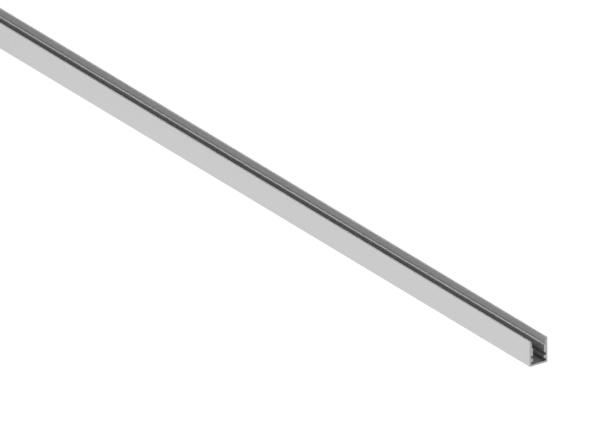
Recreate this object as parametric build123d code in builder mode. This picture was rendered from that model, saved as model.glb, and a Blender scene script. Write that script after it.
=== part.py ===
# Aluminium extrusion profile: a deep U-shaped channel, extruded in one piece and sawn square to length.
# It lies on its flat underside with its mouth up. The floor carries a 10 mm wide light strip, whose
# edges slip under a pair of ribs. Above them come a second pair of grooves, a pair of deep jaws with
# sloping ledges that a cover rests on, and a pair of barbs on the tapered lips that the cover snaps under.
# Frame: X along the length, Y across the channel, Z up out of its mouth. The origin is the middle of
# the underside. All sizes are in millimetres.

import os

from build123d import *

# Overall sizes
length = 1000.0
width = 12.2

# Walls
base_thickness = 1.1
side_wall = 1.05  # behind the grooves
lip_thickness = 1.0  # at the very top of each side

# How far each feature stands out from the inner face of the side wall
rib_reach = 1.25  # ribs and jaws end in one plane
seat_reach = 0.45  # wall of the slot that the cover snaps into
barb_reach = 0.75

# The stack of features up each side wall
groove_height = 1.65  # the strip groove and the groove above it
rib_height = 2.0
jaw_height = 4.65  # up to the nose of its ledge
ledge_rise = 0.5  # from the nose of the ledge back to the wall
snap_slot_height = 0.8
lip_height = 3.15  # from the barb to the top

# Corner radii of the section
foot_radius = 0.2
lip_radius = 0.15
rib_radius = 0.2
barb_radius = 0.08

# Levels above the underside, each from the one below it
rib_bottom = base_thickness + groove_height
rib_top = rib_bottom + rib_height
jaw_bottom = rib_top + groove_height
ledge_nose = jaw_bottom + jaw_height
ledge_back = ledge_nose + ledge_rise
barb_bottom = ledge_back + snap_slot_height
height = barb_bottom + lip_height

# Distances from the middle plane
outside = width / 2
lip_inside = outside - lip_thickness
groove_face = outside - side_wall
rib_face = groove_face - rib_reach
seat_face = groove_face - seat_reach
barb_face = groove_face - barb_reach

# Corners of one side of the section, from the foot up the outside and down the inside to the floor,
# each with the radius that rounds it
side_corners = [
    (outside, 0, foot_radius),
    (outside, height, lip_radius),
    (lip_inside, height, lip_radius),
    (barb_face, barb_bottom, barb_radius),
    (seat_face, barb_bottom, barb_radius),
    (seat_face, ledge_back, barb_radius),
    (rib_face, ledge_nose, rib_radius),
    (rib_face, jaw_bottom, rib_radius),
    (groove_face, jaw_bottom, rib_radius),
    (groove_face, rib_top, rib_radius),
    (rib_face, rib_top, rib_radius),
    (rib_face, rib_bottom, rib_radius),
    (groove_face, rib_bottom, rib_radius),
    (groove_face, base_thickness, rib_radius),
]
other_side = [(-y, z, radius) for y, z, radius in reversed(side_corners)]
section_corners = side_corners + other_side

with BuildPart() as channel_profile:
    with BuildSketch(Plane.YZ.offset(-length / 2)):
        with BuildLine():
            FilletPolyline(
                *[(y, z) for y, z, radius in section_corners],
                radius=[radius for y, z, radius in section_corners],
                close=True,
            )
        make_face()
    extrude(amount=length)

channel_profile.part.label = "channel_profile"

os.makedirs("parts", exist_ok=True)
export_step(channel_profile.part, "parts/channel_profile.step")
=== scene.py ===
import math

import bpy
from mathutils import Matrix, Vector


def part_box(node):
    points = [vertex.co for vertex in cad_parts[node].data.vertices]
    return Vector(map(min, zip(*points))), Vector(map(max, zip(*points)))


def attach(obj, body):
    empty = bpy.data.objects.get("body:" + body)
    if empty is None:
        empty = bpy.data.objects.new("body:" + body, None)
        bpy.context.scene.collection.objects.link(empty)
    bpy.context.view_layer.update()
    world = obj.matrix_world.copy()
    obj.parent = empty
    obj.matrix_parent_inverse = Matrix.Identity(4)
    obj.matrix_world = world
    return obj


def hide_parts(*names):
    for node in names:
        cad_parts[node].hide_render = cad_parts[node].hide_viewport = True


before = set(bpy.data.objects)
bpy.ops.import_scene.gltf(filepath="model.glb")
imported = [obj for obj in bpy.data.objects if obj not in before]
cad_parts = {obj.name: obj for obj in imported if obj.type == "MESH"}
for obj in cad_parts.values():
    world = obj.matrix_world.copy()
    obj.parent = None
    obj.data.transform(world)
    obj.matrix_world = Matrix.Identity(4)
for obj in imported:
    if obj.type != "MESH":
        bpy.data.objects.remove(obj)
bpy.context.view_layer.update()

# Channel
# One aluminium extrusion, anodised matt silver and then sawn square to length at both ends. Its faces are
# merged into whole strips, and the sharp rim that the saw leaves is broken all round each end.

rim_break = 0.00006
same_place = 1e-6
flat_enough = math.radians(0.5)
rounded_corner = math.radians(30)
square_to_length = 0.9
tilted_to_end = 0.1
wide_faces_lead = 100

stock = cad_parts["channel_profile"]
low_corner, high_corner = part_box("channel_profile")
end_x = high_corner.x

bpy.ops.object.select_all(action="DESELECT")
channel = bpy.data.objects.new("aluminium_channel", stock.data.copy())
bpy.context.scene.collection.objects.link(channel)
bpy.context.view_layer.objects.active = channel
channel.select_set(True)

bpy.ops.object.mode_set(mode="EDIT")
bpy.ops.mesh.select_all(action="SELECT")
bpy.ops.mesh.remove_doubles(threshold=same_place)
bpy.ops.mesh.dissolve_limited(angle_limit=flat_enough)
bpy.ops.mesh.select_all(action="SELECT")
bpy.ops.transform.resize(value=(1 - rim_break / end_x, 1, 1), center_override=(0, 0, 0))
bpy.ops.mesh.select_all(action="DESELECT")
bpy.ops.mesh.select_mode(type="FACE")
bpy.ops.object.mode_set(mode="OBJECT")
for face in channel.data.polygons:
    face.select = abs(face.normal.x) > square_to_length
bpy.ops.object.mode_set(mode="EDIT")
bpy.ops.mesh.inset(thickness=rim_break, depth=rim_break)
bpy.ops.object.mode_set(mode="OBJECT")

bpy.ops.object.shade_smooth_by_angle(angle=rounded_corner)
flats_stay_flat = channel.modifiers.new("flats_stay_flat", "WEIGHTED_NORMAL")
flats_stay_flat.weight = wide_faces_lead
flats_stay_flat.keep_sharp = True
bpy.ops.object.modifier_apply(modifier=flats_stay_flat.name)

# Scored lines: what the die leaves along the profile and the saw across its ends, as streaks of uneven
# width. They run along the vector's X. Spacing is from line to line, and Run is how far a line keeps its
# strength.
streak_detail = 3.0
streak_roughness = 0.6

scored_lines = bpy.data.node_groups.new("scored_lines", "ShaderNodeTree")
scored_lines.interface.new_socket("Vector", in_out="INPUT", socket_type="NodeSocketVector")
scored_lines.interface.new_socket("Spacing", in_out="INPUT", socket_type="NodeSocketFloat")
scored_lines.interface.new_socket("Run", in_out="INPUT", socket_type="NodeSocketFloat")
scored_lines.interface.new_socket("Lines", in_out="OUTPUT", socket_type="NodeSocketFloat")
nodes = scored_lines.nodes
links = scored_lines.links
group_in = nodes.new("NodeGroupInput")
group_out = nodes.new("NodeGroupOutput")
steps = nodes.new("ShaderNodeCombineXYZ")
links.new(group_in.outputs["Run"], steps.inputs["X"])
links.new(group_in.outputs["Spacing"], steps.inputs["Y"])
links.new(group_in.outputs["Spacing"], steps.inputs["Z"])
counted = nodes.new("ShaderNodeVectorMath")
counted.operation = "DIVIDE"
links.new(group_in.outputs["Vector"], counted.inputs[0])
links.new(steps.outputs["Vector"], counted.inputs[1])
streaks = nodes.new("ShaderNodeTexNoise")
streaks.inputs["Scale"].default_value = 1.0
streaks.inputs["Detail"].default_value = streak_detail
streaks.inputs["Roughness"].default_value = streak_roughness
links.new(counted.outputs["Vector"], streaks.inputs["Vector"])
links.new(streaks.outputs["Fac"], group_out.inputs["Lines"])

# Etched grain: the fine even tooth of matt metal, less than a tenth of a millimetre from grain to grain.
grain_size = 0.00008
grain_depth = 0.000002
grain_detail = 2.0

etched_grain = bpy.data.node_groups.new("etched_grain", "ShaderNodeTree")
etched_grain.interface.new_socket("Vector", in_out="INPUT", socket_type="NodeSocketVector")
etched_grain.interface.new_socket("Grain Size", in_out="INPUT", socket_type="NodeSocketFloat")
etched_grain.interface.new_socket("Grain", in_out="OUTPUT", socket_type="NodeSocketFloat")
nodes = etched_grain.nodes
links = etched_grain.links
group_in = nodes.new("NodeGroupInput")
group_out = nodes.new("NodeGroupOutput")
counted = nodes.new("ShaderNodeVectorMath")
counted.operation = "DIVIDE"
links.new(group_in.outputs["Vector"], counted.inputs[0])
links.new(group_in.outputs["Grain Size"], counted.inputs[1])
grains = nodes.new("ShaderNodeTexNoise")
grains.inputs["Scale"].default_value = 1.0
grains.inputs["Detail"].default_value = grain_detail
links.new(counted.outputs["Vector"], grains.inputs["Vector"])
links.new(grains.outputs["Fac"], group_out.inputs["Grain"])


def lined_metal(name, tones, roughnesses, line_spacing, line_run, line_depth):
    """Bare or anodised metal whose scored lines lead from its first tone and roughness to its second.

    Its node called lines still needs the vector that the lines follow.
    """
    material = bpy.data.materials.new(name)
    material.use_nodes = True
    nodes = material.node_tree.nodes
    links = material.node_tree.links
    metal = nodes["Principled BSDF"]
    metal.inputs["Metallic"].default_value = 1.0
    place = nodes.new("ShaderNodeTexCoord")
    place.name = "place"

    lines = nodes.new("ShaderNodeGroup")
    lines.name = "lines"
    lines.node_tree = scored_lines
    lines.inputs["Spacing"].default_value = line_spacing
    lines.inputs["Run"].default_value = line_run
    grain = nodes.new("ShaderNodeGroup")
    grain.node_tree = etched_grain
    grain.inputs["Grain Size"].default_value = grain_size
    links.new(place.outputs["Object"], grain.inputs["Vector"])

    tone = nodes.new("ShaderNodeMix")
    tone.name = "tone"
    tone.data_type = "RGBA"
    tone.inputs["A"].default_value = tones[0]
    tone.inputs["B"].default_value = tones[1]
    links.new(lines.outputs["Lines"], tone.inputs["Factor"])
    links.new(tone.outputs["Result"], metal.inputs["Base Color"])
    gloss = nodes.new("ShaderNodeMapRange")
    gloss.inputs["To Min"].default_value = roughnesses[0]
    gloss.inputs["To Max"].default_value = roughnesses[1]
    links.new(lines.outputs["Lines"], gloss.inputs["Value"])
    links.new(gloss.outputs["Result"], metal.inputs["Roughness"])

    tooth = nodes.new("ShaderNodeBump")
    tooth.inputs["Distance"].default_value = grain_depth
    links.new(grain.outputs["Grain"], tooth.inputs["Height"])
    grooving = nodes.new("ShaderNodeBump")
    grooving.inputs["Distance"].default_value = line_depth
    links.new(lines.outputs["Lines"], grooving.inputs["Height"])
    links.new(tooth.outputs["Normal"], grooving.inputs["Normal"])
    links.new(grooving.outputs["Normal"], metal.inputs["Normal"])
    return material


# Anodised skin: every face that came through the die, with fine lines along it.
# Painted shade makes it darker on the floor and deep in the grooves, and less so on the ribs between them.
# Painted shade: the grey that the skin is darkened towards inside the channel, and the heights where it is
# full.
painted_shade_tone = (0.44, 0.44, 0.445, 1)
half_wall = 0.0006
floor_and_grooves = (half_wall, 0.0029)
rib_faces = (0.0031, 0.0044)
upper_grooves = (0.0046, 0.0064)
clear_of_grooves = 0.0082
groove_painted_shade = 1.0
rib_painted_shade = 0.35
painted_shade_bands = (
    (groove_painted_shade, floor_and_grooves),
    (rib_painted_shade, rib_faces),
    (groove_painted_shade, upper_grooves),
    (0.0, (clear_of_grooves,)),
)

anodised = lined_metal(
    "anodised_skin",
    tones=((0.655, 0.655, 0.655, 1), (0.685, 0.685, 0.685, 1)),
    roughnesses=(0.60, 0.52),
    line_spacing=0.00035,
    line_run=0.25,
    line_depth=0.000004,
)
nodes = anodised.node_tree.nodes
links = anodised.node_tree.links
place = nodes["place"].outputs["Object"]
links.new(place, nodes["lines"].inputs["Vector"])
where = nodes.new("ShaderNodeSeparateXYZ")
links.new(place, where.inputs["Vector"])
off_middle = nodes.new("ShaderNodeMath")
off_middle.operation = "ABSOLUTE"
links.new(where.outputs["Y"], off_middle.inputs[0])
inside_walls = nodes.new("ShaderNodeMath")
inside_walls.operation = "LESS_THAN"
inside_walls.inputs[1].default_value = high_corner.y - half_wall
links.new(off_middle.outputs["Value"], inside_walls.inputs[0])
share_up = nodes.new("ShaderNodeMath")
share_up.operation = "DIVIDE"
share_up.inputs[1].default_value = high_corner.z
links.new(where.outputs["Z"], share_up.inputs[0])
painted_shade_by_height = nodes.new("ShaderNodeValToRGB")
ramp = painted_shade_by_height.color_ramp.elements
ramp[1].color = ramp[0].color
for painted_shade, heights in painted_shade_bands:
    for height in heights:
        ramp.new(height / high_corner.z).color = (painted_shade, painted_shade, painted_shade, 1)
links.new(share_up.outputs["Value"], painted_shade_by_height.inputs["Fac"])
# The painted shade is laid only between the outer walls, and mixes the skin's tone towards its grey.
painted_shade_share = nodes.new("ShaderNodeMath")
painted_shade_share.operation = "MULTIPLY"
links.new(painted_shade_by_height.outputs["Color"], painted_shade_share.inputs[0])
links.new(inside_walls.outputs["Value"], painted_shade_share.inputs[1])
painted_shade_mixed = nodes.new("ShaderNodeMix")
painted_shade_mixed.data_type = "RGBA"
painted_shade_mixed.inputs["B"].default_value = painted_shade_tone
links.new(painted_shade_share.outputs["Value"], painted_shade_mixed.inputs["Factor"])
links.new(nodes["tone"].outputs["Result"], painted_shade_mixed.inputs["A"])
links.new(painted_shade_mixed.outputs["Result"], nodes["Principled BSDF"].inputs["Base Color"])

# Sawn metal: bare at both ends and on their broken rims, with the arcs that a large circular blade scores.
# The arcs and their roughness are real; its grey, darker than the skin's, is painted shade on the end
# faces.
blade_centre = (0.0, 0.04, 0.155)

# Both tones are kept dark as painted shade on the sawn ends and their rims.
sawn_and_shaded = lined_metal(
    "sawn_end_painted_shade",
    tones=((0.405, 0.405, 0.405, 1), (0.535, 0.535, 0.53, 1)),
    roughnesses=(0.62, 0.48),
    line_spacing=0.00018,
    line_run=0.02,
    line_depth=0.00001,
)
nodes = sawn_and_shaded.node_tree.nodes
links = sawn_and_shaded.node_tree.links
where = nodes.new("ShaderNodeSeparateXYZ")
links.new(nodes["place"].outputs["Object"], where.inputs["Vector"])
flat_place = nodes.new("ShaderNodeCombineXYZ")
links.new(where.outputs["Y"], flat_place.inputs["Y"])
links.new(where.outputs["Z"], flat_place.inputs["Z"])
from_blade = nodes.new("ShaderNodeVectorMath")
from_blade.operation = "DISTANCE"
from_blade.inputs[1].default_value = blade_centre
links.new(flat_place.outputs["Vector"], from_blade.inputs[0])
along_arc = nodes.new("ShaderNodeCombineXYZ")
links.new(where.outputs["Y"], along_arc.inputs["X"])
links.new(from_blade.outputs["Value"], along_arc.inputs["Y"])
links.new(where.outputs["X"], along_arc.inputs["Z"])
links.new(along_arc.outputs["Vector"], nodes["lines"].inputs["Vector"])

channel.data.materials.clear()
channel.data.materials.append(anodised)
channel.data.materials.append(sawn_and_shaded)
for face in channel.data.polygons:
    face.material_index = 1 if abs(face.normal.x) > tilted_to_end else 0

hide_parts("channel_profile")
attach(channel, "root")

# Floor
# A plain white sheet that the channel lies on, far larger than any view of it. It shows white to the camera
# and in the metal, and keeps the channel's faint shadow. A second sheet, well below it, backs a view from
# floor level.

floor_size = 24.0
lower_sheet_drop = 0.5
paper_tone = (0.8, 0.8, 0.8, 1)
white_share = 0.8
white_strength = 1.18

bpy.ops.object.select_all(action="DESELECT")
bpy.ops.mesh.primitive_plane_add(size=floor_size)
floor = bpy.context.active_object
floor.name = "studio_floor"

paper = bpy.data.materials.new("white_paper")
paper.use_nodes = True
nodes = paper.node_tree.nodes
links = paper.node_tree.links
matt = nodes["Principled BSDF"]
matt.inputs["Base Color"].default_value = paper_tone
matt.inputs["Roughness"].default_value = 1.0
matt.inputs["Specular IOR Level"].default_value = 0.0
glow = nodes.new("ShaderNodeEmission")
glow.inputs["Strength"].default_value = white_strength
rays = nodes.new("ShaderNodeLightPath")
camera_or_gloss = nodes.new("ShaderNodeMath")
camera_or_gloss.operation = "MAXIMUM"
links.new(rays.outputs["Is Camera Ray"], camera_or_gloss.inputs[0])
links.new(rays.outputs["Is Glossy Ray"], camera_or_gloss.inputs[1])
or_glass = nodes.new("ShaderNodeMath")
or_glass.operation = "MAXIMUM"
links.new(camera_or_gloss.outputs["Value"], or_glass.inputs[0])
links.new(rays.outputs["Is Transmission Ray"], or_glass.inputs[1])
share = nodes.new("ShaderNodeMath")
share.operation = "MULTIPLY"
share.inputs[1].default_value = white_share
links.new(or_glass.outputs["Value"], share.inputs[0])
blend = nodes.new("ShaderNodeMixShader")
links.new(share.outputs["Value"], blend.inputs["Fac"])
links.new(matt.outputs["BSDF"], blend.inputs[1])
links.new(glow.outputs["Emission"], blend.inputs[2])
links.new(blend.outputs["Shader"], nodes["Material Output"].inputs["Surface"])
floor.data.materials.append(paper)

bpy.ops.mesh.primitive_plane_add(size=floor_size, location=(0, 0, -lower_sheet_drop))
lower_sheet = bpy.context.active_object
lower_sheet.name = "lower_sheet"
white = bpy.data.materials.new("plain_white")
white.use_nodes = True
nodes = white.node_tree.nodes
plain_glow = nodes.new("ShaderNodeEmission")
white.node_tree.links.new(plain_glow.outputs["Emission"], nodes["Material Output"].inputs["Surface"])
lower_sheet.data.materials.append(white)

# Light
# Five soft lamps and a dim even sky. The main lamp and a low one are in front, and light the inside of the
# far lip and jaw. One high on the left lights the ledge and the floor, one behind the tops of the lips, and
# one at the right shines in at the sawn end.

lamp_distance = 5.0
sky_tone = (0.23, 0.23, 0.23, 1)


def direction(azimuth, elevation):
    """The way out from the channel, in degrees round from its front and in degrees above the floor."""
    around = math.radians(azimuth)
    above = math.radians(elevation)
    return Vector((
        math.sin(around) * math.cos(above),
        -math.cos(around) * math.cos(above),
        math.sin(above),
    ))


def soft_lamp(name, azimuth, elevation, width, power):
    """A square lamp, aimed at the middle of the channel. Its width is in metres and its power in watts."""
    away = direction(azimuth, elevation)
    bpy.ops.object.light_add(type="AREA", location=away * lamp_distance)
    lamp = bpy.context.active_object
    lamp.name = name
    lamp.rotation_euler = away.to_track_quat("Z", "Y").to_euler()
    lamp.data.size = width
    lamp.data.energy = power


soft_lamp("main_lamp", azimuth=5, elevation=38, width=1.2, power=44)
soft_lamp("low_front_lamp", azimuth=335, elevation=21, width=0.8, power=23)
soft_lamp("high_left_lamp", azimuth=275, elevation=56, width=2.0, power=26)
soft_lamp("back_left_lamp", azimuth=232, elevation=38, width=1.6, power=14.5)
soft_lamp("right_lamp", azimuth=80, elevation=18, width=2.4, power=46)

sky = bpy.data.worlds.new("studio_sky")
bpy.context.scene.world = sky
sky.use_nodes = True
sky.node_tree.nodes["Background"].inputs["Color"].default_value = sky_tone

# Camera
# It looks down along the channel from the front right, and nothing converges, because it is orthographic.
# The near lower corner of the front side is set on its place in the picture.

view_azimuth = 54.7
view_elevation = 25.2
picture_width, picture_height = 600, 435
pixels_per_metre = 1785
corner_pixel_x, corner_pixel_y = 529.65, 367.1
camera_distance = 3.0

toward_camera = direction(view_azimuth, view_elevation)
rightward = direction(view_azimuth + 90, 0)
upward = toward_camera.cross(rightward)
near_corner = Vector((high_corner.x, low_corner.y, low_corner.z))
picture_middle = near_corner - rightward * (corner_pixel_x - picture_width / 2) / pixels_per_metre
picture_middle += upward * (corner_pixel_y - picture_height / 2) / pixels_per_metre

bpy.ops.object.camera_add(location=picture_middle + toward_camera * camera_distance)
camera = bpy.context.active_object
camera.rotation_euler = toward_camera.to_track_quat("Z", "Y").to_euler()
camera.data.type = "ORTHO"
camera.data.ortho_scale = picture_width / pixels_per_metre
bpy.context.scene.camera = camera
bpy.context.scene.view_settings.view_transform = "Standard"
